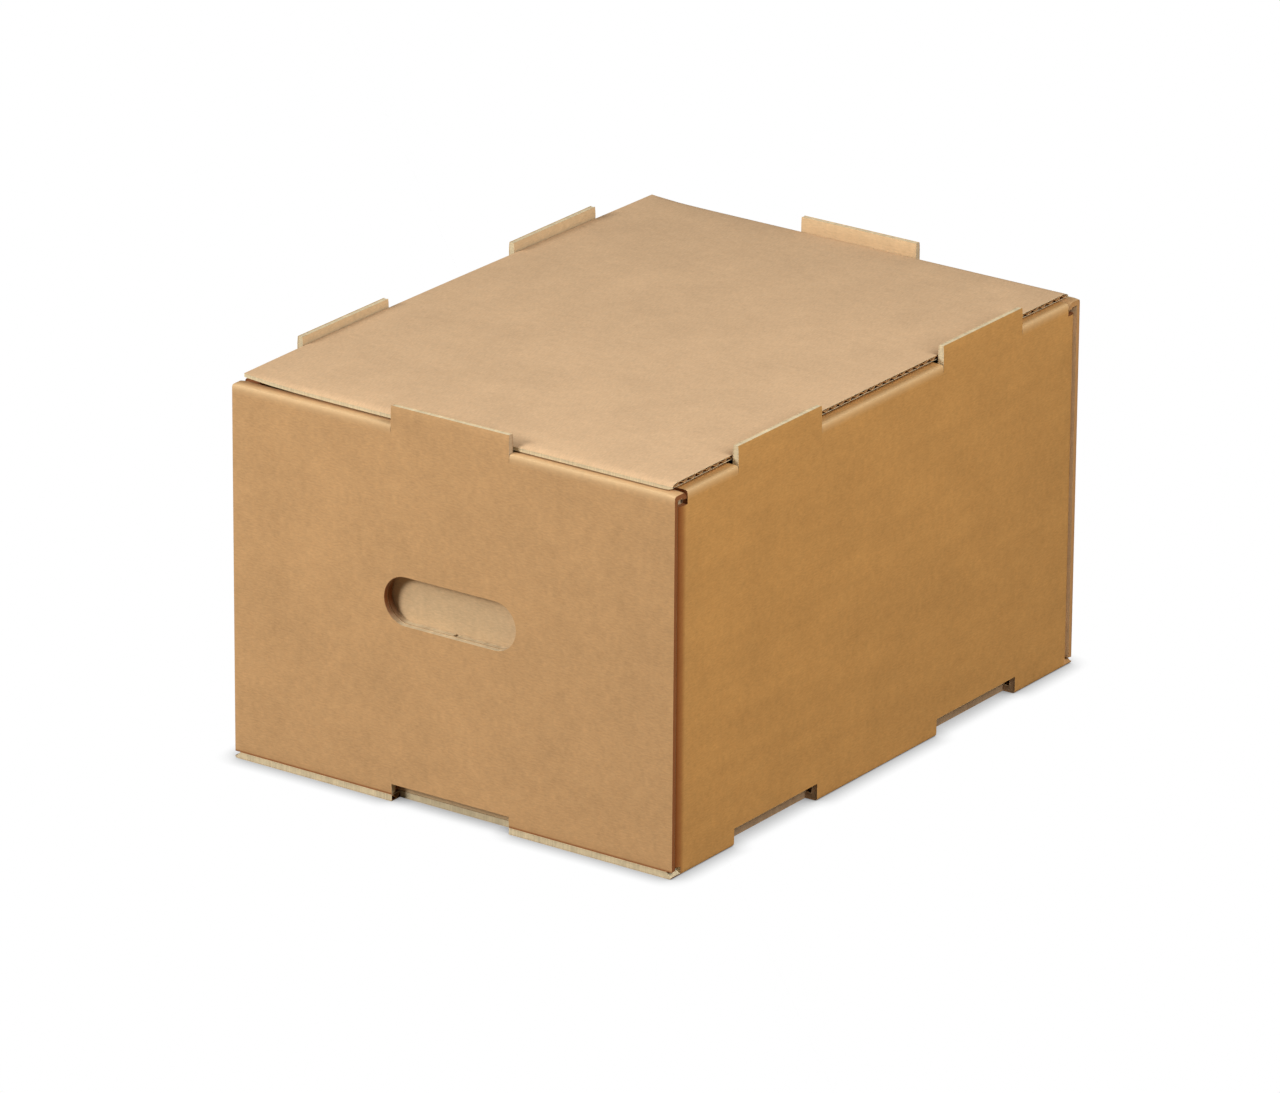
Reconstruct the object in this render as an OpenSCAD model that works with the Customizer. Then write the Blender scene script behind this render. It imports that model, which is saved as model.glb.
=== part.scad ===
// Stackable box of corrugated board, closed by a loose flat lid.
// One sheet makes the bottom, the two rolled long walls and the corner flaps.
// A folded sheet at each end goes over the flaps. The lid lies between the stacking tabs.
// The long walls face -Y and +Y. The origin is at the middle of the bottom, +Z up.

/* [Box] */
// Outside length of the box
box_l = 400; // [320:1:600]
// Outside width of the box
box_w = 300; // [200:1:400]
// Height of the folded walls, below the stacking tabs
wall_h = 223; // [180:1:320]

/* [Board] */
// Thickness of the corrugated board
board_t = 3.8; // [2.6:0.1:5]
// Inside radius of a square fold
fold_r = 0.6; // [0.3:0.1:1.2]
// Gap between two boards that lie on each other
lay_gap = 0.3; // [0.1:0.1:0.8]
// Thickness of each outer paper of the board
liner_t = 0.35; // [0.2:0.05:0.5]
// Thickness of the waved paper inside the board
medium_t = 0.35; // [0.2:0.05:0.5]
// Length of one wave of the paper inside the board
flute_pitch = 7.5; // [6:0.1:9]

/* [Walls] */
// Space between the two boards of a long wall
long_space = 4.4; // [2.6:0.1:8]
// Gap where the two corner flaps of an end meet in the middle
flap_meet = 2; // [1:0.5:20]
// Height of a corner flap's lower edge above the bottom board
flap_foot = 1.5; // [0.5:0.5:6]
// Height that a corner flap stays below the top board of its end
flap_head = 4; // [1:0.5:10]

/* [Stacking] */
// Width of a stacking tab
tab_w = 80; // [50:1:110]
// Height of a stacking tab above the folded walls
tab_rise = 11; // [8:0.5:18]
// Distance between the middles of the two tabs on a long wall
tab_apart = 200; // [150:1:220]
// Width of the cut on each side of a tab
slit_w = 0.5; // [0.2:0.1:1.5]
// Clearance on each side of a tab in the notch of the box above
notch_side = 0.3; // [0.1:0.1:3]
// Clearance above a tab in the notch of the box above
notch_over = 3.2; // [0.5:0.1:6]

/* [Hand holes] */
// Width of a hand hole
grip_w = 90; // [70:1:120]
// Height of a hand hole
grip_h = 29; // [22:1:40]
// Height of the middle of a hand hole
grip_z = 121; // [60:1:150]

/* [Lid] */
// Gap between the lid's edges and the stacking tabs
lid_gap = 1.2; // [0.3:0.1:4]

/* [Hidden] */
$fn = 64;
kraft = "#c2904f";
kraft_end = "#c59b6b";
kraft_lid = "#cfad85";

// Outside radius of a fold
fold_out = fold_r + board_t;
// The space inside an end holds the corner flaps, with a gap on both sides
end_space = board_t + 2 * lay_gap;
end_wall = 2 * board_t + end_space;
// Half lengths of the long walls: to the corner folds, and along the rolled top
wall_end = box_l / 2 - board_t - lay_gap - fold_out;
roll_end = box_l / 2 - end_wall - lay_gap;
flap_low = board_t + flap_foot;
flap_top = wall_h - board_t - flap_head;
flap_reach = (box_w - flap_meet) / 2;
// Height where the outer board turns over at the top
turn_z = wall_h - fold_out;
// What a cut needs to pass a face
past = 1;

// Stacking tabs and notches
notch_w = tab_w + 2 * notch_side;
notch_h = tab_rise - board_t + notch_over;
// A notch in the bottom board reaches just past the corner flaps
notch_d = board_t + end_space - lay_gap / 2;

// Lid
lid_l = box_l - 2 * (board_t + lid_gap);
lid_w = box_w - 2 * (board_t + lid_gap);

// Waved paper in the lid: its height, and the number of straight pieces in each open arch
wave_h = board_t - 2 * liner_t - medium_t;
wave_steps = 8;
// An arch is open up to this phase of the wave on each side. Past it the papers are glued.
glue_angle = 152;
flute_half = flute_pitch * glue_angle / 360;
// Crushed board that closes the lid's ends, and the last arch on each side of the middle one
edge_wall = 0.6;
half_waves = floor((lid_l / 2 - edge_wall - flute_half) / (flute_pitch / 2));

// Length of board along the middle of a square fold
function fold_length() = PI / 2 * (fold_r + board_t / 2);

// Height in the inner board down to which a tab was cut out, when the roll was still flat
function tab_cut_z(space) =
    turn_z - (tab_rise + fold_out - 2 * fold_length() - (space - 2 * fold_r));

// Sheet corner: a quarter ring of board around the point c, turned by a
module fold(c, a) {
    translate(c)
        rotate(a)
            intersection() {
                difference() {
                    circle(r = fold_out);
                    circle(r = fold_r);
                }
                square(fold_out);
            }
}

// Puts a side drawn along X, with its outer face at y = 0, on the box
module on_side(turn, reach) {
    rotate([0, 0, turn])
        translate([0, -reach, 0])
            children();
}

// Draws a section, inward by upward, along the whole of a side
module along(length) {
    rotate([90, 0, 90])
        linear_extrude(length, center = true)
            children();
}

// Section of a rolled wall: outer board up, over the top and down again as the inner board
module rolled_section(foot, space) {
    thick = 2 * board_t + space;
    translate([0, foot])
        square([board_t, turn_z - foot]);
    fold([fold_out, turn_z], 90);
    translate([fold_out, wall_h - board_t])
        square([thick - 2 * fold_out, board_t]);
    fold([thick - fold_out, turn_z], 0);
    translate([thick - board_t, board_t + lay_gap])
        square([board_t, turn_z - board_t - lay_gap]);
}

// What is cut from a rolled wall to free a tab: the turn, the top and part of the inner board
module tab_cut(x, space) {
    cut_w = tab_w + 2 * slit_w;
    cut_d = 2 * board_t + space + 2 * past;
    top_h = fold_out + past;
    inner_z = tab_cut_z(space);
    translate([x - cut_w / 2, -past, turn_z])
        cube([cut_w, cut_d, top_h]);
    translate([x - cut_w / 2, board_t + space / 2, inner_z])
        cube([cut_w, board_t + space, wall_h - inner_z + past]);
}

// Stacking tab: the outer board carried straight on past the fold
module tab(x) {
    translate([x - tab_w / 2, 0, turn_z])
        cube([tab_w, board_t, fold_out + tab_rise]);
}

// Notch for the tab of the box below, from outside the box to the depth given
module notch_cut(x, depth, height) {
    translate([x - notch_w / 2, -past, -past])
        cube([notch_w, depth + past, height + past]);
}

// Hand hole through an end, from outside the box to the depth given
module grip_cut(depth) {
    run = grip_w - grip_h;
    translate([0, depth, grip_z])
        rotate([90, 0, 0])
            linear_extrude(depth + past) {
                square([run, grip_h], center = true);
                for (s = [-1, 1])
                    translate([s * run / 2, 0])
                        circle(d = grip_h);
            }
}

// Corner flap with its fold, at the +X end of a long wall
module corner_flap() {
    translate([0, 0, flap_low])
        linear_extrude(flap_top - flap_low) {
            fold([wall_end, fold_out], -90);
            translate([wall_end + fold_r, fold_out])
                square([board_t, flap_reach - fold_out]);
        }
}

// Long wall of the wrap, with two tabs and a flap at each end
module long_wall_sheet() {
    difference() {
        along(2 * roll_end)
            rolled_section(fold_out, long_space);
        for (s = [-1, 1])
            tab_cut(s * tab_apart / 2, long_space);
    }
    along(2 * wall_end)
        translate([0, fold_out])
            square([board_t, flap_top - fold_out]);
    for (s = [-1, 1])
        tab(s * tab_apart / 2);
    for (flip = [0, 1])
        mirror([flip, 0, 0])
            corner_flap();
}

// Section of the bottom board with the folds up into the long walls
module bottom_section() {
    flat_w = box_w - 2 * fold_out;
    translate([-flat_w / 2, 0])
        square([flat_w, board_t]);
    fold([flat_w / 2, fold_out], -90);
    fold([-flat_w / 2, fold_out], 180);
}

// Bottom board: past the corner folds it is cut off level with its own top
module bottom_sheet() {
    along(2 * wall_end)
        bottom_section();
    along(box_l)
        intersection() {
            bottom_section();
            translate([-box_w / 2, 0])
                square([box_w, board_t]);
        }
}

// One sheet: bottom, long walls and corner flaps
module tray_wrap() {
    color(kraft)
        difference() {
            union() {
                bottom_sheet();
                for (turn = [0, 180])
                    on_side(turn, box_w / 2)
                        long_wall_sheet();
            }
            for (turn = [0, 180])
                on_side(turn, box_w / 2)
                    for (s = [-1, 1]) {
                        notch_cut(s * tab_apart / 2, notch_d, board_t + lay_gap / 2);
                        notch_cut(s * tab_apart / 2, board_t + long_space / 2, notch_h);
                    }
            for (turn = [-90, 90])
                on_side(turn, box_l / 2) {
                    notch_cut(0, notch_d, notch_h);
                    grip_cut(board_t + end_space);
                }
        }
}

// Folded sheet over the corner flaps of one end, standing on the bottom board
module end_panel() {
    // The inner board stands between the outer boards of the long walls
    side_cut = board_t + lay_gap;
    difference() {
        along(box_w)
            rolled_section(board_t + lay_gap, end_space);
        for (flip = [0, 1])
            mirror([flip, 0, 0])
                translate([box_w / 2 - side_cut, board_t + end_space / 2, 0])
                    cube([side_cut + past, board_t + end_space, turn_z]);
        tab_cut(0, end_space);
        notch_cut(0, board_t + end_space / 2, notch_h);
        grip_cut(board_t + end_space / 2);
    }
    tab(0);
}

module end_panel_left() {
    color(kraft_end)
        on_side(-90, box_l / 2)
            end_panel();
}

module end_panel_right() {
    color(kraft_end)
        on_side(90, box_l / 2)
            end_panel();
}

// Section of one flute channel, below the waved paper, centred on x = 0
module flute_channel() {
    wave = [
        for (i = [0 : wave_steps])
            let (a = glue_angle * (2 * i / wave_steps - 1))
            [flute_pitch * a / 360, liner_t + wave_h * (1 + cos(a)) / 2]
    ];
    polygon(concat(wave, [[flute_half, liner_t], [-flute_half, liner_t]]));
}

// Section of the lid: two papers with the waved one between them
module lid_section() {
    difference() {
        translate([-lid_l / 2, 0])
            square([lid_l, board_t]);
        for (i = [-half_waves : half_waves])
            translate([i * flute_pitch / 2, i % 2 == 0 ? 0 : board_t])
                mirror([0, i % 2 == 0 ? 0 : 1])
                    flute_channel();
    }
}

// Loose lid, its flutes across the box
module lid() {
    color(kraft_lid)
        translate([0, lid_w / 2, wall_h])
            rotate([90, 0, 0])
                linear_extrude(lid_w)
                    lid_section();
}

tray_wrap();
end_panel_left();
end_panel_right();
lid();
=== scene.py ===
# Stackable box of corrugated board with a loose flat lid: every sheet with its papers and flutes
import math

import bmesh
import bpy
from mathutils import Matrix, Vector


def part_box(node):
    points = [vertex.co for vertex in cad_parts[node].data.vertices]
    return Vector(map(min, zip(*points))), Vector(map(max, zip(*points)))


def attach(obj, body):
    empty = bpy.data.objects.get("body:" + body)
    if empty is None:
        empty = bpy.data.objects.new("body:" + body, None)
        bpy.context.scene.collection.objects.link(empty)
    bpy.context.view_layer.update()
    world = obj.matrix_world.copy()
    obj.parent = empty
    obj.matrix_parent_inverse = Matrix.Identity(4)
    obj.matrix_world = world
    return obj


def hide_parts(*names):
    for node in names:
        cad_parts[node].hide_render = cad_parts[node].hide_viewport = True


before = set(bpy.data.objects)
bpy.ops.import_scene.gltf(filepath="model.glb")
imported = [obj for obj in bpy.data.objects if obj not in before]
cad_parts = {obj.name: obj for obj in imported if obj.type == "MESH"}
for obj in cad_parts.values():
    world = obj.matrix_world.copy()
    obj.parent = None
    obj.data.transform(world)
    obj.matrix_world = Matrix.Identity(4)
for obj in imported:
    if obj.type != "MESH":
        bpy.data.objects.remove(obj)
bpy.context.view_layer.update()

# Sheets are built in millimetres. A sheet's flat coordinates are x across its flutes,
# y along its flutes and z down into the board from its outer paper. Its columns are lines
# along the flutes, given by their x, and its rows are lines across them, given by their y.
MM = 0.001
wrap_box = [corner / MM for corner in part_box("tray_wrap")]
end_box = [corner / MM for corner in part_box("end_panel_right")]
lid_box = [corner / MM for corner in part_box("lid")]

# The box as a whole
HALF_LENGTH = wrap_box[1].x
HALF_WIDTH = wrap_box[1].y
WALL_HEIGHT = lid_box[0].z
TAB_TOP = wrap_box[1].z
LID_HALF_LENGTH = lid_box[1].x
LID_HALF_WIDTH = lid_box[1].y

# The board: its thickness, its outer papers, the waved paper between them with the length of
# a wave and the straight pieces that make one, and the gap between two boards
BOARD = lid_box[1].z - lid_box[0].z
LINER = 0.35
MEDIUM = 0.35
FLUTE = 7.5
FLUTE_STEPS = 6
LAY_GAP = end_box[0].z - BOARD

# Folds: their radii, the length of board along their middle, and the pieces that make one
FOLD_INSIDE = 0.6
FOLD_OUTSIDE = FOLD_INSIDE + BOARD
FOLD_LENGTH = math.pi / 2 * (FOLD_INSIDE + BOARD / 2)
FOLD_STEPS = 8

# How square the creased folds of the walls are: 2 would be round
CREASE = 6

# Longest stretch between two lines of a paper, and between two rows of the warped lid
PAPER_STEP = 20
LID_STEP = 30

# Rolled walls: the outer board goes up to the turn, over the top and down again inside.
# Heights on a flat sheet are counted along the board, up its wall and over.
END_DEPTH = end_box[1].x - end_box[0].x
SIDE_SPACE = 4.4
SIDE_DEPTH = 2 * BOARD + SIDE_SPACE
TURN = WALL_HEIGHT - FOLD_OUTSIDE
INNER_FOOT = BOARD + LAY_GAP

# Fold round the bottom: the height where it starts, and the row of height 0. Past the corner
# folds the bottom board ends within the fold, after this share of it.
BASE_TURN = FOLD_OUTSIDE - FOLD_LENGTH
BASE_REACH = HALF_WIDTH - FOLD_OUTSIDE - BASE_TURN
CURL_SHARE = 0.6
BASE_CURL = BASE_TURN + CURL_SHARE * FOLD_LENGTH

# Half lengths of the long walls: to the corner folds, and along the rolled tops
SIDE_END = HALF_LENGTH - BOARD - LAY_GAP - FOLD_OUTSIDE
ROLL_END = HALF_LENGTH - END_DEPTH - LAY_GAP

# Corner flaps: their gaps to the bottom board, to the board over them and to each other
FLAP_UNDER = 1.5
FLAP_OVER = 4
FLAP_MEET = 2
FLAP_FOOT = BOARD + FLAP_UNDER
FLAP_HEAD = WALL_HEIGHT - BOARD - FLAP_OVER
FLAP_MIDDLE = SIDE_END + FOLD_LENGTH + HALF_WIDTH - FOLD_OUTSIDE
FLAP_END = FLAP_MIDDLE - FLAP_MEET / 2

# Stacking tabs, with the slits beside them
TAB_HALF = 40
TAB_OFFSET = 100
SLIT = 0.2

# Notches for the tabs of the box below, with their clearances beside and over a tab
NOTCH_SIDE = 0.3
NOTCH_OVER = 3.2
NOTCH_HALF = TAB_HALF + NOTCH_SIDE
NOTCH_TOP = TAB_TOP - WALL_HEIGHT - BOARD + NOTCH_OVER
NOTCH_DEPTH = END_DEPTH - BOARD - LAY_GAP / 2

# Row of the wrap to which the notches of the long walls reach into the bottom board
NOTCH_ROW = BASE_REACH + BASE_TURN - (NOTCH_DEPTH - FOLD_OUTSIDE)

# Hand holes
GRIP_HALF = 45
GRIP_RADIUS = 14.5
GRIP_HEIGHT = 121
GRIP_STEPS = 8

# Cut edges: a thin wall of crushed fibre closes the board where it is cut along its flutes
RIM_INSET = 0.2
RIM_WALL = 0.3
RIM = RIM_INSET + RIM_WALL

# Distance at which points count as one, and how far a cut runs past the edge of its sheet
TOUCH = 1e-4
PAST = 1

# The knife presses the board thinner near a cut: by this share at the edge, up to this far in
PRESSED = 0.22
PRESS_REACH = 5
PRESS_ROWS = (0.5, 1.2, 2.5, PRESS_REACH)

# The lid is pressed more: from above at its ends, but from below at its long sides and, as
# suddenly as the last value says, at the far stretch of its ends
LID_END_PRESSED = 0.45
LID_SIDE_PRESSED = 0.32
FAR_SHARPNESS = 8

# Warp of the lid: its least height over the walls, half its rise to the left end, the height of
# its arch and the arch's lean to the left, and the curl of its far left corner. What ends in
# FAR is added at the far side and taken off at the near one.
LID_REST = 0.15
LID_SLOPE = 0.45
LID_SLOPE_FAR = 0.2
LID_ARCH = 1.15
LID_ARCH_FAR = 0.45
LID_LEAN = 0.5
LID_LEAN_FAR = 0.3
LID_CURL = 0.6
CURL_SHARPNESS = 6

# The fold at the top of a wall is painted pale, partly as rubbing and partly as a painted highlight:
# from this far below it, and most in its middle
PALE_BELOW = 1.5
PALE_FROM = TURN - PALE_BELOW
PALE_LINE = TURN + FOLD_LENGTH / 2

# How brown cut edges are: in the notches of the long walls, where the brown is painted shade, at the
# sides of the end tabs, at the right end, and along the straight stretches of a hand hole
NOTCH_SHADE = 0.6
TAB_EDGE_BROWN = 0.5
RIGHT_EDGE_BROWN = 0.55
GRIP_EDGE_BROWN = 0.2

# Painted shade darkens the two corner folds beside the left end, which lie in the end sheets' shade,
# from this far before them, and the foot of the end sheets, as the shadow of the gap under them,
# up to this far above it
SHADE_BEFORE = 3
SHADE_FROM = SIDE_END - SHADE_BEFORE
FOOT_SHADE = 1.2

# Faces of a layer are broad ones where they look up or down at least this much, and the edges
# between faces are sharp from this angle
BROAD = 0.7
SHARP_ANGLE = math.radians(35)

# Numbers of the four materials of each sheet
PAPER_OUTER, PAPER_INNER, FLUTING, CUT_EDGE = range(4)


def fold_rows(start):
    """Rows at which the fold that starts at the given one is divided."""
    return [start + FOLD_LENGTH * k / FOLD_STEPS for k in range(FOLD_STEPS + 1)]


def spread(lines, step):
    """The lines given, in order, with more of them wherever two are further apart than the step."""
    lines = sorted(set(round(line, 4) for line in lines))
    out = []
    for low, high in zip(lines, lines[1:]):
        parts = max(1, math.ceil((high - low) / step))
        out += [low + (high - low) * k / parts for k in range(parts)]
    return out + lines[-1:]


def paper_profile(columns, depth):
    """Section of a flat paper across the flutes, at one depth in the board."""
    return [(x, depth) for x in columns]


def wave_profile(columns):
    """Section of the waved paper across the flutes, from one outer paper to the other."""
    wave_height = BOARD - 2 * LINER - MEDIUM
    step = FLUTE / FLUTE_STEPS
    low, high = min(columns), max(columns)
    waves = [k * step for k in range(math.ceil(low / step), math.floor(high / step) + 1)]
    return [
        (x, LINER + wave_height * (1 - math.cos(2 * math.pi * x / FLUTE)) / 2)
        for x in spread(waves + columns, step)
    ]


def inside(point, area):
    """Whether a point lies in a rectangle, which is given as low x, high x, low y and high y."""
    return area[0] < point.x < area[1] and area[2] < point.y < area[3]


def flat_layer(profile, rows, cuts):
    """One paper of the flat board, drawn along its flutes and with its cut-outs taken away."""
    bm = bmesh.new()
    chain = [bm.verts.new((x, rows[0], depth)) for x, depth in profile]
    edges = [bm.edges.new(pair) for pair in zip(chain, chain[1:])]
    drawn = bmesh.ops.extrude_edge_only(bm, edges=edges)["geom"]
    ends = [item for item in drawn if isinstance(item, bmesh.types.BMVert)]
    bmesh.ops.translate(bm, verts=ends, vec=(0, rows[-1] - rows[0], 0))
    for row in rows[1:-1]:
        everything = bm.verts[:] + bm.edges[:] + bm.faces[:]
        bmesh.ops.bisect_plane(bm, geom=everything, dist=TOUCH, plane_co=(0, row, 0), plane_no=(0, 1, 0))
    waste = [f for f in bm.faces if any(inside(f.calc_center_median(), cut) for cut in cuts)]
    bmesh.ops.delete(bm, geom=waste, context="FACES")
    return bm


def grip_area(x, y, setback):
    """Rectangle round a hand hole, wider by the setback."""
    half, radius = GRIP_HALF + setback, GRIP_RADIUS + setback
    return x - half, x + half, y - radius, y + radius


def grip_lines(grips):
    """Columns and rows that the round ends of hand holes need, for holes with these middles."""
    arc = [GRIP_RADIUS * math.sin(math.pi / 2 * k / GRIP_STEPS) for k in range(GRIP_STEPS + 1)]
    columns = [x + s * (GRIP_HALF - GRIP_RADIUS + a) for x, y in grips for a in arc for s in (-1, 1)]
    rows = [y + s * GRIP_RADIUS for x, y in grips for s in (-1, 1)]
    return columns, rows


def round_grip(bm, centre_x, centre_y, setback):
    """Gives the rectangle cut for a hand hole its round ends."""
    radius = GRIP_RADIUS + setback
    for v in bm.verts:
        run = abs(v.co.x - centre_x) - (GRIP_HALF - GRIP_RADIUS)
        off = v.co.y - centre_y
        if run < radius + TOUCH and abs(abs(off) - radius) < TOUCH:
            rise = math.sqrt(max(0, radius**2 - max(0, run) ** 2))
            v.co.y = centre_y + math.copysign(rise, off)
    bmesh.ops.remove_doubles(bm, verts=bm.verts, dist=TOUCH)


def thicken(bm, thickness):
    """Makes a closed sheet of a surface, downward into the board."""
    lower = bmesh.ops.extrude_face_region(bm, geom=bm.faces[:], use_keep_orig=True)["geom"]
    verts = [item for item in lower if isinstance(item, bmesh.types.BMVert)]
    bmesh.ops.translate(bm, verts=verts, vec=(0, 0, thickness))


def has_rim(edge, crushed):
    """Whether an edge of a paper is cut along the flutes or lies in a crushed area."""
    a, b = edge.verts
    run = b.co - a.co
    along = abs(run.y) >= abs(run.x)
    middle = (a.co + b.co) / 2
    return edge.is_boundary and (along or any(inside(middle, area) for area in crushed))


def inward_side(edge):
    """Direction from a cut edge of a paper square into the paper."""
    a, b = edge.verts
    run = b.co - a.co
    side = Vector((run.y, -run.x, 0)).normalized()
    if side.dot(edge.link_faces[0].calc_center_median() - a.co) < 0:
        side.negate()
    return side


def rim_wall(paper, crushed):
    """Walls of crushed fibre behind the paper's rims along the flutes and in the crushed areas."""
    bm = bmesh.new()
    made = {}
    sides = {}
    edges = []
    for edge in paper.edges:
        if not has_rim(edge, crushed):
            continue
        side = inward_side(edge)
        for v in edge.verts:
            if v not in made:
                made[v] = bm.verts.new((v.co.x, v.co.y, LINER))
                sides[made[v]] = []
            sides[made[v]].append(side)
        edges.append(bm.edges.new([made[v] for v in edge.verts]))
    if not edges:
        return bm
    push = []
    for v in bm.verts:
        inward = sum(sides[v], Vector()).normalized()
        push.append(inward / inward.dot(sides[v][0]))
        v.co += push[-1] * RIM_INSET
    bm.verts.index_update()
    number = bm.verts.layers.int.new("number")
    for v in bm.verts:
        v[number] = v.index
    up = bmesh.ops.extrude_edge_only(bm, edges=edges)["geom"]
    top = [item for item in up if isinstance(item, bmesh.types.BMVert)]
    bmesh.ops.translate(bm, verts=top, vec=(0, 0, BOARD - 2 * LINER))
    back = bmesh.ops.extrude_face_region(bm, geom=bm.faces[:], use_keep_orig=True)["geom"]
    for item in back:
        if isinstance(item, bmesh.types.BMVert):
            item.co += push[item[number]] * RIM_WALL
    bm.verts.layers.int.remove(number)
    return bm


def number_faces(bm, face_material, side_material):
    """Broad faces of a flat layer get one material and its cut rims another."""
    bm.normal_update()
    for face in bm.faces:
        broad = abs(face.normal.z) > BROAD
        face.material_index = face_material if broad else side_material


def flat_papers(columns, rows, cuts, grips, crushed):
    """The two outer papers of the flat board, and the crushed rims between them."""
    holes = cuts + [grip_area(x, y, 0) for x, y in grips]
    columns, rows = spread(columns, PAPER_STEP), spread(rows, PAPER_STEP)
    layers = []
    for depth, paper in ((0, PAPER_OUTER), (BOARD - LINER, PAPER_INNER)):
        layer = flat_layer(paper_profile(columns, depth), rows, holes)
        for x, y in grips:
            round_grip(layer, x, y, 0)
        if paper == PAPER_OUTER:
            rims = rim_wall(layer, crushed)
        thicken(layer, LINER)
        number_faces(layer, paper, CUT_EDGE)
        layers.append(layer)
    number_faces(rims, CUT_EDGE, CUT_EDGE)
    return layers + [rims]


def flat_wave(columns, rows, cuts, grips, crushed):
    """The waved paper of the flat board, which ends at the rims."""
    low_x, high_x = min(columns), max(columns)
    low_y, high_y = min(rows), max(rows)
    set_back = [(x0 - RIM, x1 + RIM, y0, y1) for x0, x1, y0, y1 in cuts]
    set_back.append((low_x - PAST, low_x + RIM, low_y - PAST, high_y + PAST))
    set_back.append((high_x - RIM, high_x + PAST, low_y - PAST, high_y + PAST))
    set_back += crushed
    columns = [low_x, high_x] + [x for cut in set_back for x in cut[:2] if low_x < x < high_x]
    rows = rows + [y for cut in set_back for y in cut[2:] if low_y < y < high_y]
    wave = flat_layer(wave_profile(columns), spread(rows, math.inf), set_back)
    for x, y in grips:
        round_grip(wave, x, y, RIM)
    thicken(wave, MEDIUM)
    number_faces(wave, FLUTING, FLUTING)
    return wave


def add_layer(sheet, bm, place, wear_and_painted_light):
    """Marks a layer with its flat coordinates, its wear and its painted light, folds it and adds it, faces
    outward.
    """
    uv = bm.loops.layers.uv.new("flat")
    for kind, amount in wear_and_painted_light.items():
        layer = bm.verts.layers.float.new(kind)
        for v in bm.verts:
            v[layer] = amount(v.co)
    for face in bm.faces:
        for loop in face.loops:
            loop[uv].uv = loop.vert.co.xy * MM
    for v in bm.verts:
        v.co = place(v.co.copy())
    bm.normal_update()
    bmesh.ops.recalc_face_normals(bm, faces=bm.faces)
    mesh = bpy.data.meshes.new("layer")
    bm.to_mesh(mesh)
    bm.free()
    sheet.from_mesh(mesh)
    bpy.data.meshes.remove(mesh)


def corrugated_sheet(name, columns, rows, cuts, place, wear_and_painted_light, grips=(), crushed=()):
    """A sheet of board: two papers, crushed rims and the waved paper, all folded into place."""
    columns = columns + [x for cut in cuts for x in cut[:2]]
    rows = rows + [y for cut in cuts for y in cut[2:]]
    low_x, high_x = min(columns), max(columns)
    grip_columns, grip_rows = grip_lines(grips)
    columns = [x for x in columns + grip_columns if low_x <= x <= high_x]
    rows += grip_rows
    crushed = [*crushed, *(grip_area(x, y, RIM) for x, y in grips)]
    layers = flat_papers(columns, rows, cuts, grips, crushed)
    layers.append(flat_wave(columns, rows, cuts, grips, crushed))
    sheet = bmesh.new()
    for layer in layers:
        add_layer(sheet, layer, place, wear_and_painted_light)
    bmesh.ops.scale(sheet, verts=sheet.verts, vec=(MM, MM, MM))
    mesh = bpy.data.meshes.new(name)
    sheet.to_mesh(mesh)
    sheet.free()
    mesh.shade_smooth()
    mesh.set_sharp_from_angle(angle=SHARP_ANGLE)
    piece = bpy.data.objects.new(name, mesh)
    bpy.context.scene.collection.objects.link(piece)
    return piece


def creased(turn, radius):
    """Point of a creased fold, from the middle of its curve: a rounded square corner."""
    across, up = math.sin(turn), math.cos(turn)
    length = radius / (abs(across) ** CREASE + abs(up) ** CREASE) ** (1 / CREASE)
    return across * length, up * length


def rolled(height, depth, thickness):
    """Place in a rolled wall of what lies that far up the sheet: distance in from outside, height."""
    radius = FOLD_OUTSIDE - depth
    second_fold = TURN + FOLD_LENGTH + thickness - 2 * FOLD_OUTSIDE
    inner = second_fold + FOLD_LENGTH
    if height < BASE_TURN:
        return FOLD_OUTSIDE + BASE_TURN - height, depth
    if height < FOLD_OUTSIDE:
        across, down = creased(math.pi / 2 * (height - BASE_TURN) / FOLD_LENGTH, radius)
        return FOLD_OUTSIDE - across, FOLD_OUTSIDE - down
    if height < TURN:
        return depth, height
    if height < TURN + FOLD_LENGTH:
        up, across = creased(math.pi / 2 * (height - TURN) / FOLD_LENGTH, radius)
        return FOLD_OUTSIDE - across, TURN + up
    if height < second_fold:
        return FOLD_OUTSIDE + height - TURN - FOLD_LENGTH, WALL_HEIGHT - depth
    if height < inner:
        turn = math.pi / 2 * (height - second_fold) / FOLD_LENGTH
        return thickness - FOLD_OUTSIDE + radius * math.sin(turn), TURN + radius * math.cos(turn)
    return thickness - depth, TURN - (height - inner)


def roll_end_height(thickness):
    """Height on the flat sheet at which its inner board ends."""
    return TURN + 2 * FOLD_LENGTH + thickness - 2 * FOLD_OUTSIDE + TURN - INNER_FOOT


def lost(away, share=PRESSED):
    """Share of its thickness that the board lost to the knife, at that distance from a cut edge."""
    return share * max(0, 1 - away / PRESS_REACH) ** 2


def pressed(depth, away):
    """Depth of a paper in the board at that distance from a cut edge."""
    return BOARD / 2 + (depth - BOARD / 2) * (1 - lost(away))


def at_line(x, line):
    """Whether x is in the crushed rim at one of the two lines that far from the middle."""
    return abs(abs(x) - line) < RIM + TOUCH


def pale_fold(height, off_tab):
    """How pale the sheet is painted there, partly as rubbing and partly as a painted highlight: 1 on the
    crease at the top of the wall, 0 on a tab.
    """
    away = abs(height - PALE_LINE) / (PALE_LINE - PALE_FROM)
    return max(0, 1 - away) ** 2 * (off_tab > TAB_HALF + SLIT / 2)


def grip_edge_shade(x):
    """How brown the cut edge of a hand hole is, that far from its middle: most at its round ends, where it
    is painted shade.
    """
    return max(GRIP_EDGE_BROWN, (abs(x) - GRIP_HALF + GRIP_RADIUS) / GRIP_RADIUS)


def tab_top(centre, base):
    """Strip of crushed board along the top of a stacking tab."""
    return centre - TAB_HALF, centre + TAB_HALF, base + TAB_TOP - RIM, base + TAB_TOP + TOUCH


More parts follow.
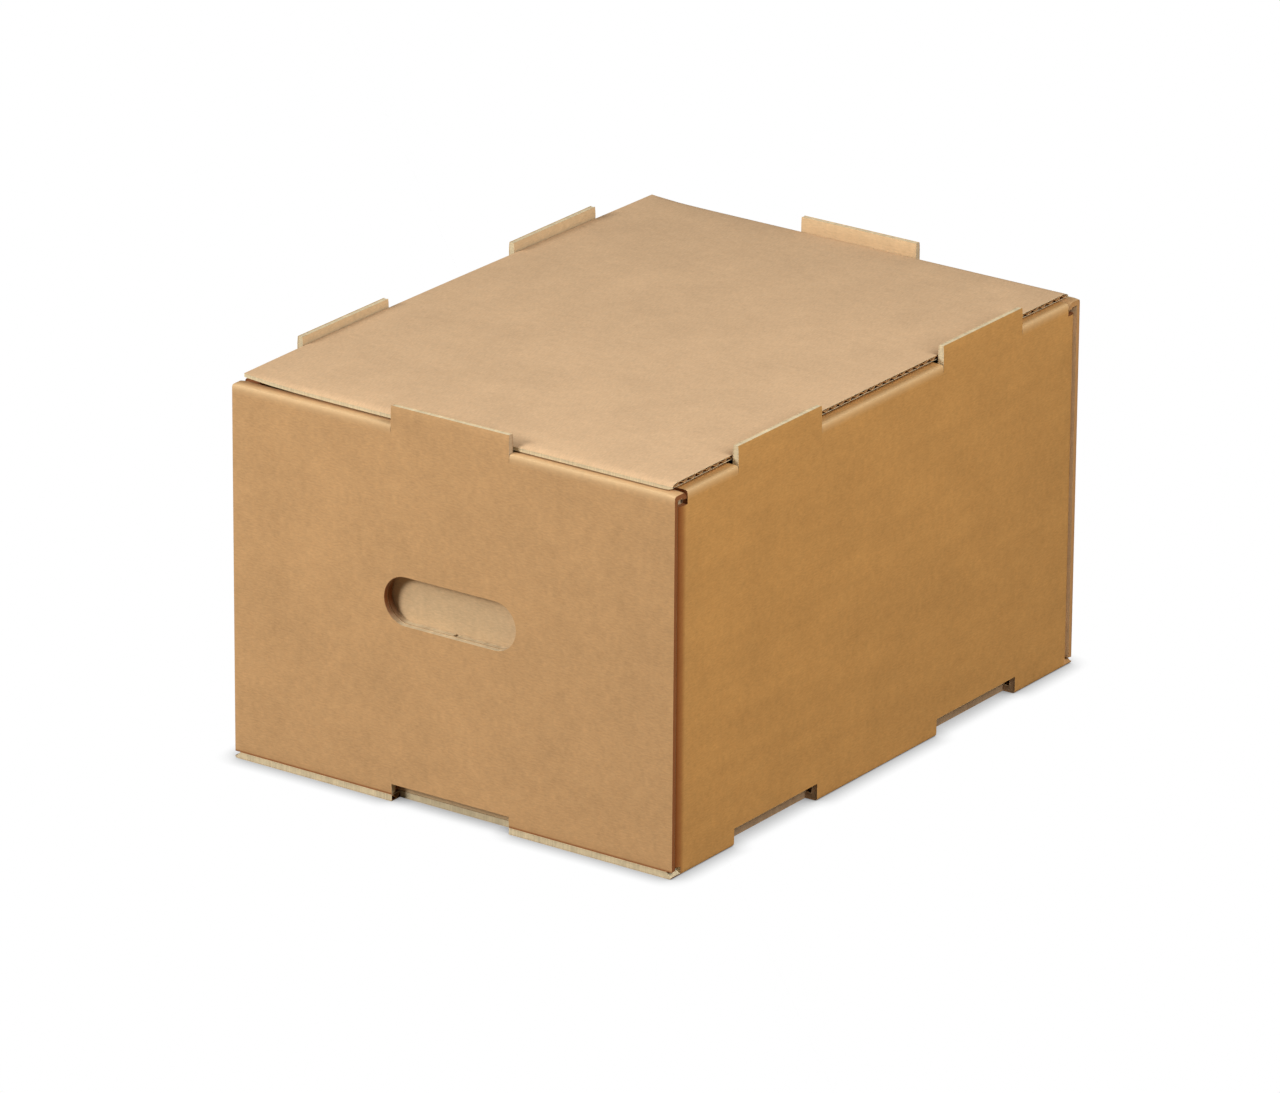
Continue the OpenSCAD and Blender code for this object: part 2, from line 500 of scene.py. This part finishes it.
def tab_cuts(centre, base):
    """The two slits and the cross cut that free a stacking tab, on a sheet whose walls start at base."""
    low, high = base + TURN, base + TAB_TOP
    slits = [centre + s * (TAB_HALF + SLIT / 2) for s in (-1, 1)]
    cuts = [(x - SLIT / 2, x + SLIT / 2, low, high + SLIT) for x in slits]
    return cuts + [(centre - TAB_HALF, centre + TAB_HALF, high, high + SLIT)]


def turned_over(cuts):
    """The same cuts on the other half of the wrap."""
    return [(x0, x1, -y1, -y0) for x0, x1, y0, y1 in cuts]


def clip(cut, reach_x, reach_y):
    """A cut with its lines kept on the sheet, so that it adds none outside."""
    x0, x1 = (max(-reach_x, min(reach_x, x)) for x in cut[:2])
    y0, y1 = (max(-reach_y, min(reach_y, y)) for y in cut[2:])
    return x0, x1, y0, y1


def wrap_cuts(top):
    """What is cut from the flat wrap, whose rolled walls end at the top row."""
    bands = (
        # Past the ends of the bottom board
        (HALF_LENGTH, -PAST, BASE_REACH + BASE_CURL),
        # Between the bottom board and the flaps
        (SIDE_END, BASE_REACH + BASE_CURL, BASE_REACH + FLAP_FOOT),
        # Over the flaps
        (ROLL_END, BASE_REACH + FLAP_HEAD, top + PAST),
        # Notches of the ends, in the bottom board and in the flaps
        (HALF_LENGTH - NOTCH_DEPTH, -PAST, NOTCH_HALF),
        (FLAP_MIDDLE - NOTCH_HALF, BASE_REACH + FLAP_FOOT, BASE_REACH + NOTCH_TOP),
    )
    half = []
    for s in (-1, 1):
        half += [(*sorted((s * start, s * (FLAP_END + PAST))), low, high) for start, low, high in bands]
        centre = s * TAB_OFFSET
        half.append((centre - NOTCH_HALF, centre + NOTCH_HALF, NOTCH_ROW, BASE_REACH + NOTCH_TOP))
        half += tab_cuts(centre, BASE_REACH)
    return [clip(cut, FLAP_END, top) for cut in half + turned_over(half)]


def wrap_crushed():
    """Strips of the flat wrap that are crushed along cuts across its flutes."""

    def strip(low, high, row):
        """Both sides of a row, from the low to the high column."""
        return low, high, row - RIM - TOUCH, row + RIM + TOUCH

    half = [tab_top(s * TAB_OFFSET, BASE_REACH) for s in (-1, 1)]
    for s in (-1, 1):
        low, high = s * TAB_OFFSET - NOTCH_HALF, s * TAB_OFFSET + NOTCH_HALF
        half += [strip(low, high, row) for row in (NOTCH_ROW, BASE_REACH + NOTCH_TOP)]
        low, high = sorted((s * (ROLL_END - RIM), s * (HALF_LENGTH + TOUCH)))
        half += [strip(low, high, BASE_REACH + height) for height in (BASE_CURL, FLAP_FOOT, FLAP_HEAD)]
    return half + turned_over(half)


def wrap_rubbed_and_highlight(co):
    """How pale the wrap is painted, partly as rubbing and partly as a painted highlight, on the folds at the
    top of its walls.
    """
    return pale_fold(abs(co.y) - BASE_REACH, abs(abs(co.x) - TAB_OFFSET))


def wrap_edge_tone_and_shade(co):
    """How brown the wrap's cut edges are: painted shade at the ends of its rolled tops, in its notches, at
    its hand holes and on its flaps, and a browner tone at the lower corners of the right end.
    """
    height = abs(co.y) - BASE_REACH
    # Painted shade at the ends of the rolled tops, in the slots at the corners
    if height > FLAP_HEAD - RIM - TOUCH:
        return abs(co.x) > ROLL_END - RIM - TOUCH
    # Painted shade in the notches
    if abs(abs(co.x) - TAB_OFFSET) < NOTCH_HALF + RIM + TOUCH and height < NOTCH_TOP + RIM + TOUCH:
        return NOTCH_SHADE
    if height < BASE_CURL + RIM + TOUCH:
        return RIGHT_EDGE_BROWN * (co.x > SIDE_END)
    from_grip = abs(co.x) - FLAP_MIDDLE
    if abs(from_grip) < GRIP_HALF + RIM and abs(height - GRIP_HEIGHT) < GRIP_RADIUS + RIM:
        return grip_edge_shade(from_grip)
    # Painted shade on the flaps' cut edges, inside the hollow walls
    return height > FLAP_FOOT - TOUCH and abs(co.x) > SIDE_END


def wrap_painted_shade(co):
    """How much painted shade the wrap has, at the corner folds beside the left end."""
    return max(0, min(1, (-co.x - SHADE_FROM) / (SIDE_END + FOLD_LENGTH / 2 - SHADE_FROM)))


def wrap_tanned(co):
    """Whether the wrap's cut edges have the tone of its walls: at the lower corners of the right end."""
    return co.x > SIDE_END and 0 < abs(co.y) - BASE_REACH < BASE_CURL + RIM + TOUCH


def place_wrap(co):
    """Folds a point of the wrap: bottom, long walls with their rolls and tabs, corner flaps."""
    side = -1 if co.y < 0 else 1
    height = abs(co.y) - BASE_REACH
    on_tab = abs(abs(co.x) - TAB_OFFSET) < TAB_HALF + TOUCH
    if on_tab and TURN < height < TAB_TOP + TOUCH:
        depth = pressed(co.z, TAB_TOP - height)
        return Vector((co.x, side * (HALF_WIDTH - depth), height))
    x = co.x
    inward, up = rolled(height, co.z, SIDE_DEPTH)
    over = abs(co.x) - SIDE_END
    if over > 0 and height > FLAP_FOOT - TOUCH:
        turn = math.pi / 2 * min(1, over / FOLD_LENGTH)
        radius = FOLD_OUTSIDE - co.z
        x = math.copysign(SIDE_END + radius * math.sin(turn), co.x)
        inward = FOLD_OUTSIDE - radius * math.cos(turn) + max(0, over - FOLD_LENGTH)
    return Vector((x, side * (HALF_WIDTH - inward), up))


def tray_wrap():
    """One sheet: bottom, long walls and corner flaps."""
    top = BASE_REACH + roll_end_height(SIDE_DEPTH)
    folds = (BASE_TURN, TURN, TURN + FOLD_LENGTH + SIDE_DEPTH - 2 * FOLD_OUTSIDE)
    rows = [top] + [BASE_REACH + row for start in folds for row in fold_rows(start)]
    rows += [BASE_REACH + PALE_FROM] + [BASE_REACH + TAB_TOP - away for away in PRESS_ROWS]
    rows += [-row for row in rows] + [0]
    columns = [s * column for column in fold_rows(SIDE_END) for s in (-1, 1)]
    columns += [-SHADE_FROM, -FLAP_END, FLAP_END]
    grips = [(sx * FLAP_MIDDLE, sy * (BASE_REACH + GRIP_HEIGHT)) for sx in (-1, 1) for sy in (-1, 1)]
    wear_and_painted_light = {"rubbed_and_highlight": wrap_rubbed_and_highlight, "edge_tone_and_shade": wrap_edge_tone_and_shade, "painted_shade": wrap_painted_shade, "tanned": wrap_tanned}
    cuts, crushed = wrap_cuts(top), wrap_crushed()
    return corrugated_sheet("wrap_sheet", columns, rows, cuts, place_wrap, wear_and_painted_light, grips, crushed)


def end_edge_tone_and_shade(co):
    """How brown an end sheet's cut edges are: its sides and the ends of its hand hole, where the brown is
    painted shade, and the sides of its tab.
    """
    # Painted shade on the sides, in the hollows at the corners
    if at_line(co.x, HALF_WIDTH):
        return 1
    if at_line(co.x, TAB_HALF) and co.y > TURN:
        return TAB_EDGE_BROWN
    return grip_edge_shade(co.x) * (abs(co.y - GRIP_HEIGHT) < GRIP_RADIUS + RIM)


def end_sheet(name, side):
    """Folded sheet over the corner flaps of one end: side is -1 for the left one, 1 for the right."""
    top = roll_end_height(END_DEPTH)
    inner_half = HALF_WIDTH - INNER_FOOT
    inner_row = TURN + 2 * FOLD_LENGTH + END_DEPTH - 2 * FOLD_OUTSIDE
    cuts = tab_cuts(0, 0)
    cuts.append((-NOTCH_HALF, NOTCH_HALF, INNER_FOOT, NOTCH_TOP))
    cuts += [(inner_half, HALF_WIDTH, inner_row, top), (-HALF_WIDTH, -inner_half, inner_row, top)]
    rows = [INNER_FOOT, PALE_FROM, top]
    rows += [row for start in (TURN, inner_row - FOLD_LENGTH) for row in fold_rows(start)]
    rows += [TAB_TOP - away for away in PRESS_ROWS] + [INNER_FOOT + away for away in PRESS_ROWS]
    columns = [s * (HALF_WIDTH - away) for away in (0, *PRESS_ROWS) for s in (-1, 1)]
    edge_brown_share = 1 if side < 0 else RIGHT_EDGE_BROWN
    wear_and_painted_light = {
        "rubbed_and_highlight": lambda co: pale_fold(co.y, abs(co.x)),
        "edge_tone_and_shade": lambda co: edge_brown_share * end_edge_tone_and_shade(co),
        # Painted shadow along the foot of the sheet, over the gap under it
        "painted_shade": lambda co: max(0, 1 - (co.y - INNER_FOOT) / FOOT_SHADE),
        "tanned": lambda co: side > 0 and at_line(co.x, HALF_WIDTH),
    }

    def place(co):
        """Folds a point of the sheet over its end, with its pressed edges and its tab."""
        if abs(co.x) < TAB_HALF + TOUCH and TURN < co.y < TAB_TOP + TOUCH:
            return Vector((side * (HALF_LENGTH - pressed(co.z, TAB_TOP - co.y)), co.x, co.y))
        depth = pressed(co.z, min(HALF_WIDTH - abs(co.x), co.y - INNER_FOOT))
        inward, up = rolled(co.y, depth, END_DEPTH)
        return Vector((side * (HALF_LENGTH - inward), co.x, up))

    return corrugated_sheet(name, columns, rows, cuts, place, wear_and_painted_light, [(0, GRIP_HEIGHT)], [tab_top(0, 0)])


def lid_lift(x, y):
    """How far the warped lid stands above the walls: it lies on the right end and arches to the left."""
    u, v = x / LID_HALF_LENGTH, y / LID_HALF_WIDTH
    slope = (1 - u) * (LID_SLOPE + LID_SLOPE_FAR * v)
    arch = (1 - u * u) * (LID_ARCH + LID_ARCH_FAR * v - u * (LID_LEAN + LID_LEAN_FAR * v))
    curled_corner = LID_CURL * ((1 - u) * (1 + v) / 4) ** CURL_SHARPNESS
    return LID_REST + slope + arch + curled_corner


def place_lid(co):
    """Lays a point of the lid on the walls, with its pressed edges and its warp."""
    at_end = lost(LID_HALF_LENGTH - abs(co.x), LID_END_PRESSED)
    at_side = lost(LID_HALF_WIDTH - abs(co.y), LID_SIDE_PRESSED)
    far = max(0, co.y / LID_HALF_WIDTH) ** FAR_SHARPNESS
    top = BOARD * (1 - at_end * (1 - far))
    bottom = BOARD * max(at_side, at_end * far)
    height = top + (bottom - top) * co.z / BOARD
    return Vector((co.x, co.y, WALL_HEIGHT + height + lid_lift(co.x, co.y)))


def lid_sheet():
    """Loose lid, its flutes across the box."""
    columns = [s * (LID_HALF_LENGTH - away) for away in (0, *PRESS_ROWS) for s in (-1, 1)]
    edge_rows = [s * (LID_HALF_WIDTH - away) for away in (0, *PRESS_ROWS) for s in (-1, 1)]
    return corrugated_sheet("lid_sheet", columns, spread(edge_rows, LID_STEP), [], place_lid, {})


# Finish of the papers: roughness, gloss, the strength of their relief, its depth in millimetres
# and the mottle's share in it, and how rough the noise of their patterns is
PAPER_ROUGHNESS = 0.82
PAPER_GLOSS = 0.25
RELIEF_STRENGTH = 0.35
RELIEF_DEPTH = 0.2
MOTTLE_RELIEF = 0.4
NOISE_ROUGHNESS = 0.6

# Tints between which the paper's hue wanders
WARM_TINT = (1.02, 0.995, 0.97, 1)
COOL_TINT = (0.98, 1.005, 1.03, 1)


def paint(colour):
    """Linear colour of 8-bit screen values."""
    return [((c / 255 + 0.055) / 1.055) ** 2.4 for c in colour] + [1]


def add_node(tree, kind, links=None, **settings):
    """A node with its settings, its plain inputs and its linked ones."""
    node = tree.nodes.new(kind)
    for name, value in settings.items():
        setattr(node, name, value)
    for name, value in (links or {}).items():
        if isinstance(value, bpy.types.NodeSocket):
            tree.links.new(value, node.inputs[name])
        else:
            node.inputs[name].default_value = value
    return node


def maths(tree, operation, a, b=0.0, c=0.0):
    """Result of a sum or a function of up to three values."""
    return add_node(tree, "ShaderNodeMath", {0: a, 1: b, 2: c}, operation=operation).outputs[0]


def blended(tree, share, under, over):
    """Colour between two others: the one under it at a share of 0, the one over it at 1."""
    # The node's inputs 6 and 7 and its output 2 are its colour sockets
    return add_node(tree, "ShaderNodeMix", {"Factor": share, 6: under, 7: over}, data_type="RGBA").outputs[2]


def paper_group():
    """Formation of kraft paper: clouds, mottle and fibres that follow the sheet, as colour and height."""
    tree = bpy.data.node_groups.new("paper_formation", "ShaderNodeTree")
    face = tree.interface
    face.new_socket("Paper", in_out="INPUT", socket_type="NodeSocketColor")
    for name in ("Cloud", "Mottle", "Fibre", "Streak", "Flute ribs"):
        face.new_socket(name, in_out="INPUT", socket_type="NodeSocketFloat")
    face.new_socket("Colour", in_out="OUTPUT", socket_type="NodeSocketColor")
    face.new_socket("Height", in_out="OUTPUT", socket_type="NodeSocketFloat")
    given = tree.nodes.new("NodeGroupInput").outputs
    flat = add_node(tree, "ShaderNodeUVMap", uv_map="flat").outputs["UV"]
    place = add_node(tree, "ShaderNodeTexCoord").outputs["Object"]

    def cloud(vector, size, detail, density=(1, 1, 1)):
        """Noise round zero, in patches of that size in millimetres."""
        scaled = add_node(tree, "ShaderNodeMapping", {"Vector": vector, "Scale": density}).outputs[0]
        links = {"Vector": scaled, "Scale": 1 / (size * MM), "Detail": detail, "Roughness": NOISE_ROUGHNESS}
        fac = add_node(tree, "ShaderNodeTexNoise", links).outputs["Fac"]
        return maths(tree, "SUBTRACT", fac, 0.5)

    cloudy = cloud(place, size=35, detail=3)
    mottled = cloud(place, size=6, detail=3)
    fibrous = cloud(flat, size=0.9, detail=3, density=(0.3, 1, 1))
    streaked = cloud(flat, size=14, detail=2, density=(0.12, 1, 1))
    hue = cloud(place, size=4, detail=2)
    level = 1.0
    for pattern, share in ((cloudy, "Cloud"), (mottled, "Mottle"), (fibrous, "Fibre"), (streaked, "Streak")):
        level = maths(tree, "MULTIPLY_ADD", pattern, given[share], level)
    shade = add_node(tree, "ShaderNodeVectorMath", {0: given["Paper"], "Scale": level}, operation="SCALE")
    tint = blended(tree, maths(tree, "ADD", hue, 0.5), WARM_TINT, COOL_TINT)
    tinted = add_node(tree, "ShaderNodeVectorMath", {0: shade.outputs[0], 1: tint}, operation="MULTIPLY")
    across = add_node(tree, "ShaderNodeSeparateXYZ", {0: flat}).outputs[0]
    rib = maths(tree, "COSINE", maths(tree, "MULTIPLY", across, 2 * math.pi / (FLUTE * MM)))
    ribs = maths(tree, "MULTIPLY", rib, given["Flute ribs"])
    height = maths(tree, "ADD", ribs, maths(tree, "MULTIPLY_ADD", mottled, MOTTLE_RELIEF, fibrous))
    add_node(tree, "NodeGroupOutput", {"Colour": tinted.outputs[0], "Height": height})
    return tree


def board_material(name, colour, cloud=0.25, mottle=0.26, fibre=0.45, streak=0, ribs=0.1, wear_and_painted_light=()):
    """A paper of the board, with the kinds of wear and painted light given: which, its colour and how
    strong.
    """
    material = bpy.data.materials.new(name)
    material.use_nodes = True
    tree = material.node_tree
    shader = tree.nodes["Principled BSDF"]
    shader.inputs["Roughness"].default_value = PAPER_ROUGHNESS
    shader.inputs["Specular IOR Level"].default_value = PAPER_GLOSS
    links = {"Paper": colour, "Cloud": cloud, "Mottle": mottle, "Fibre": fibre, "Streak": streak,
             "Flute ribs": ribs}
    paper = add_node(tree, "ShaderNodeGroup", links, node_tree=formation)
    result = paper.outputs["Colour"]
    for kind, mark_colour, strength in wear_and_painted_light:
        share = add_node(tree, "ShaderNodeAttribute", attribute_name=kind).outputs["Fac"]
        result = blended(tree, maths(tree, "MULTIPLY", share, strength), result, mark_colour)
    tree.links.new(result, shader.inputs["Base Color"])
    relief = {"Strength": RELIEF_STRENGTH, "Distance": RELIEF_DEPTH * MM, "Height": paper.outputs["Height"]}
    bump = add_node(tree, "ShaderNodeBump", relief)
    tree.links.new(bump.outputs[0], shader.inputs["Normal"])
    return material


def dress(piece, outer_paper, cut_edge, node):
    """Gives a sheet its papers and lets it stand for its solid."""
    for material in (outer_paper, inner_paper, fluting, cut_edge):
        piece.data.materials.append(material)
    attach(piece, "root")
    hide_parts(node)


formation = paper_group()

# Kinds of wear and painted light: the attribute that says how much there is, its colour and its strength
# Brown cut edges: painted shade in the notches, the corner hollows, on the flaps and at the round ends of
# the hand holes, and a browner tone at the right end and at the sides of the end tabs
edge_tone_and_shade = ("edge_tone_and_shade", paint((130, 70, 24)), 0.95)
# Painted shade: dark brown on the corner folds by the left end and along the foot of the end sheets
painted_shade = ("painted_shade", paint((130, 64, 16)), 0.9)
# Pale crease at the top of the walls: partly rubbing, partly a painted highlight
rubbed_and_highlight = ("rubbed_and_highlight", paint((226, 194, 148)), 0.6)
tanned = ("tanned", paint((190, 138, 80)), 0.8)

# Inside of the board and its cut edges
inner_paper = board_material("inner_paper", paint((207, 176, 135)), cloud=0.2, mottle=0.22, streak=0.15,
                             ribs=0.25)
fluting = board_material("fluting_paper", paint((198, 152, 100)), ribs=0, wear_and_painted_light=[edge_tone_and_shade, tanned])
cut_fibre = board_material("cut_fibre", paint((214, 197, 161)), mottle=0.6, fibre=0.6, ribs=0,
                           wear_and_painted_light=[edge_tone_and_shade, tanned])
lid_fibre = board_material("lid_fibre", paint((212, 196, 160)), mottle=0.4, fibre=0.8, ribs=0)

# Outer papers. Their tones differ partly as three sheets and partly as painted shade: the long walls'
# paper, on the sides that get the least light, is darker and more saturated, and the lid's is paler.
wrap_paper = board_material("wrap_paper", paint((192, 142, 80)), streak=0.2, wear_and_painted_light=[rubbed_and_highlight, painted_shade])
end_paper = board_material("end_paper", paint((197, 155, 107)), wear_and_painted_light=[rubbed_and_highlight, painted_shade])
lid_paper = board_material("lid_paper", paint((208, 173, 134)), mottle=0.16)

dress(tray_wrap(), wrap_paper, cut_fibre, "tray_wrap")
dress(end_sheet("end_sheet_left", -1), end_paper, cut_fibre, "end_panel_left")
dress(end_sheet("end_sheet_right", 1), end_paper, cut_fibre, "end_panel_right")
dress(lid_sheet(), lid_paper, lid_fibre, "lid")

# Camera: a long lens at the photograph's angle. The last two values say how far to the right of
# its axis the box's origin lies, and how far above it.
CAMERA_AZIMUTH = math.radians(-54.727)
CAMERA_ELEVATION = math.radians(20.859)
CAMERA_ROLL = math.radians(0.404)
CAMERA_DISTANCE = 5.3744
CAMERA_LENS = 265.55
CAMERA_SENSOR = 36
AIM_RIGHT = 0.01071
AIM_UP = -0.09272

# Studio, in metres: where the lamps point, the strength of the even light from all round, the
# floor's size and the colour it throws back, and its contact shadow's reach, fading and samples
LAMP_AIM = Vector((0, 0, 0.12))
EVEN_LIGHT = 0.08
FLOOR_SIZE = 12
FLOOR_COLOUR = (0.22, 0.16, 0.1, 1)
SHADOW_REACH = 0.013
SHADOW_FADE = 0.9
SHADOW_SAMPLES = 16
WHITE = (1, 1, 1, 1)


def camera():
    """Long-lens camera that looks at the box from the front left and a little above."""
    back = Vector((
        math.sin(CAMERA_AZIMUTH) * math.cos(CAMERA_ELEVATION),
        -math.cos(CAMERA_AZIMUTH) * math.cos(CAMERA_ELEVATION),
        math.sin(CAMERA_ELEVATION),
    ))
    level = (-back).cross(Vector((0, 0, 1))).normalized()
    up = level.cross(-back)
    right = math.cos(CAMERA_ROLL) * level + math.sin(CAMERA_ROLL) * up
    upright = -math.sin(CAMERA_ROLL) * level + math.cos(CAMERA_ROLL) * up
    data = bpy.data.cameras.new("camera")
    data.sensor_width = CAMERA_SENSOR
    data.lens = CAMERA_LENS
    view = bpy.data.objects.new("camera", data)
    turn = Matrix((right, upright, back)).transposed().to_4x4()
    place = back * CAMERA_DISTANCE - right * AIM_RIGHT - upright * AIM_UP
    view.matrix_world = Matrix.Translation(place) @ turn
    bpy.context.scene.collection.objects.link(view)
    bpy.context.scene.camera = view


def soft_light(name, place, size, power):
    """A square soft light that faces the middle of the box."""
    data = bpy.data.lights.new(name, "AREA")
    data.shape = "SQUARE"
    data.size = size
    data.energy = power
    lamp = bpy.data.objects.new(name, data)
    lamp.location = place
    aim = LAMP_AIM - Vector(place)
    lamp.rotation_euler = aim.to_track_quat("-Z", "Y").to_euler()
    bpy.context.scene.collection.objects.link(lamp)


def white_floor():
    """Floor that the camera sees white, apart from the shadow near the box."""
    bm = bmesh.new()
    bmesh.ops.create_grid(bm, x_segments=1, y_segments=1, size=FLOOR_SIZE)
    mesh = bpy.data.meshes.new("floor")
    bm.to_mesh(mesh)
    bm.free()
    floor = bpy.data.objects.new("floor", mesh)
    bpy.context.scene.collection.objects.link(floor)
    material = bpy.data.materials.new("floor")
    material.use_nodes = True
    tree = material.node_tree
    tree.nodes.clear()
    shadow = add_node(tree, "ShaderNodeAmbientOcclusion", {"Distance": SHADOW_REACH}, samples=SHADOW_SAMPLES)
    open_sky = maths(tree, "POWER", shadow.outputs["AO"], SHADOW_FADE)
    seen = add_node(tree, "ShaderNodeEmission", {"Color": WHITE, "Strength": open_sky}).outputs[0]
    lit = add_node(tree, "ShaderNodeBsdfDiffuse", {"Color": FLOOR_COLOUR}).outputs[0]
    ray = add_node(tree, "ShaderNodeLightPath").outputs["Is Camera Ray"]
    mix = add_node(tree, "ShaderNodeMixShader", {0: ray, 1: lit, 2: seen}).outputs[0]
    add_node(tree, "ShaderNodeOutputMaterial", {"Surface": mix})
    mesh.materials.append(material)


def white_world():
    """Even soft light from all round. The camera sees it as plain white."""
    world = bpy.data.worlds.new("studio")
    bpy.context.scene.world = world
    world.use_nodes = True
    tree = world.node_tree
    tree.nodes.clear()
    ray = add_node(tree, "ShaderNodeLightPath").outputs["Is Camera Ray"]
    ambient = add_node(tree, "ShaderNodeBackground", {"Color": WHITE, "Strength": EVEN_LIGHT}).outputs[0]
    white = add_node(tree, "ShaderNodeBackground", {"Color": WHITE, "Strength": 1}).outputs[0]
    mix = add_node(tree, "ShaderNodeMixShader", {0: ray, 1: ambient, 2: white}).outputs[0]
    add_node(tree, "ShaderNodeOutputWorld", {"Surface": mix})


camera()
soft_light("key", (-2.7, 1.5, 1.5), size=0.9, power=75)
soft_light("left", (-1.3, 0.9, 1.5), size=0.8, power=12)
soft_light("side", (-0.2, -2.0, 1.1), size=0.9, power=19)
soft_light("near", (-0.25, -1.25, 1.5), size=0.8, power=16)
white_world()
white_floor()
bpy.context.scene.view_settings.view_transform = "Standard"
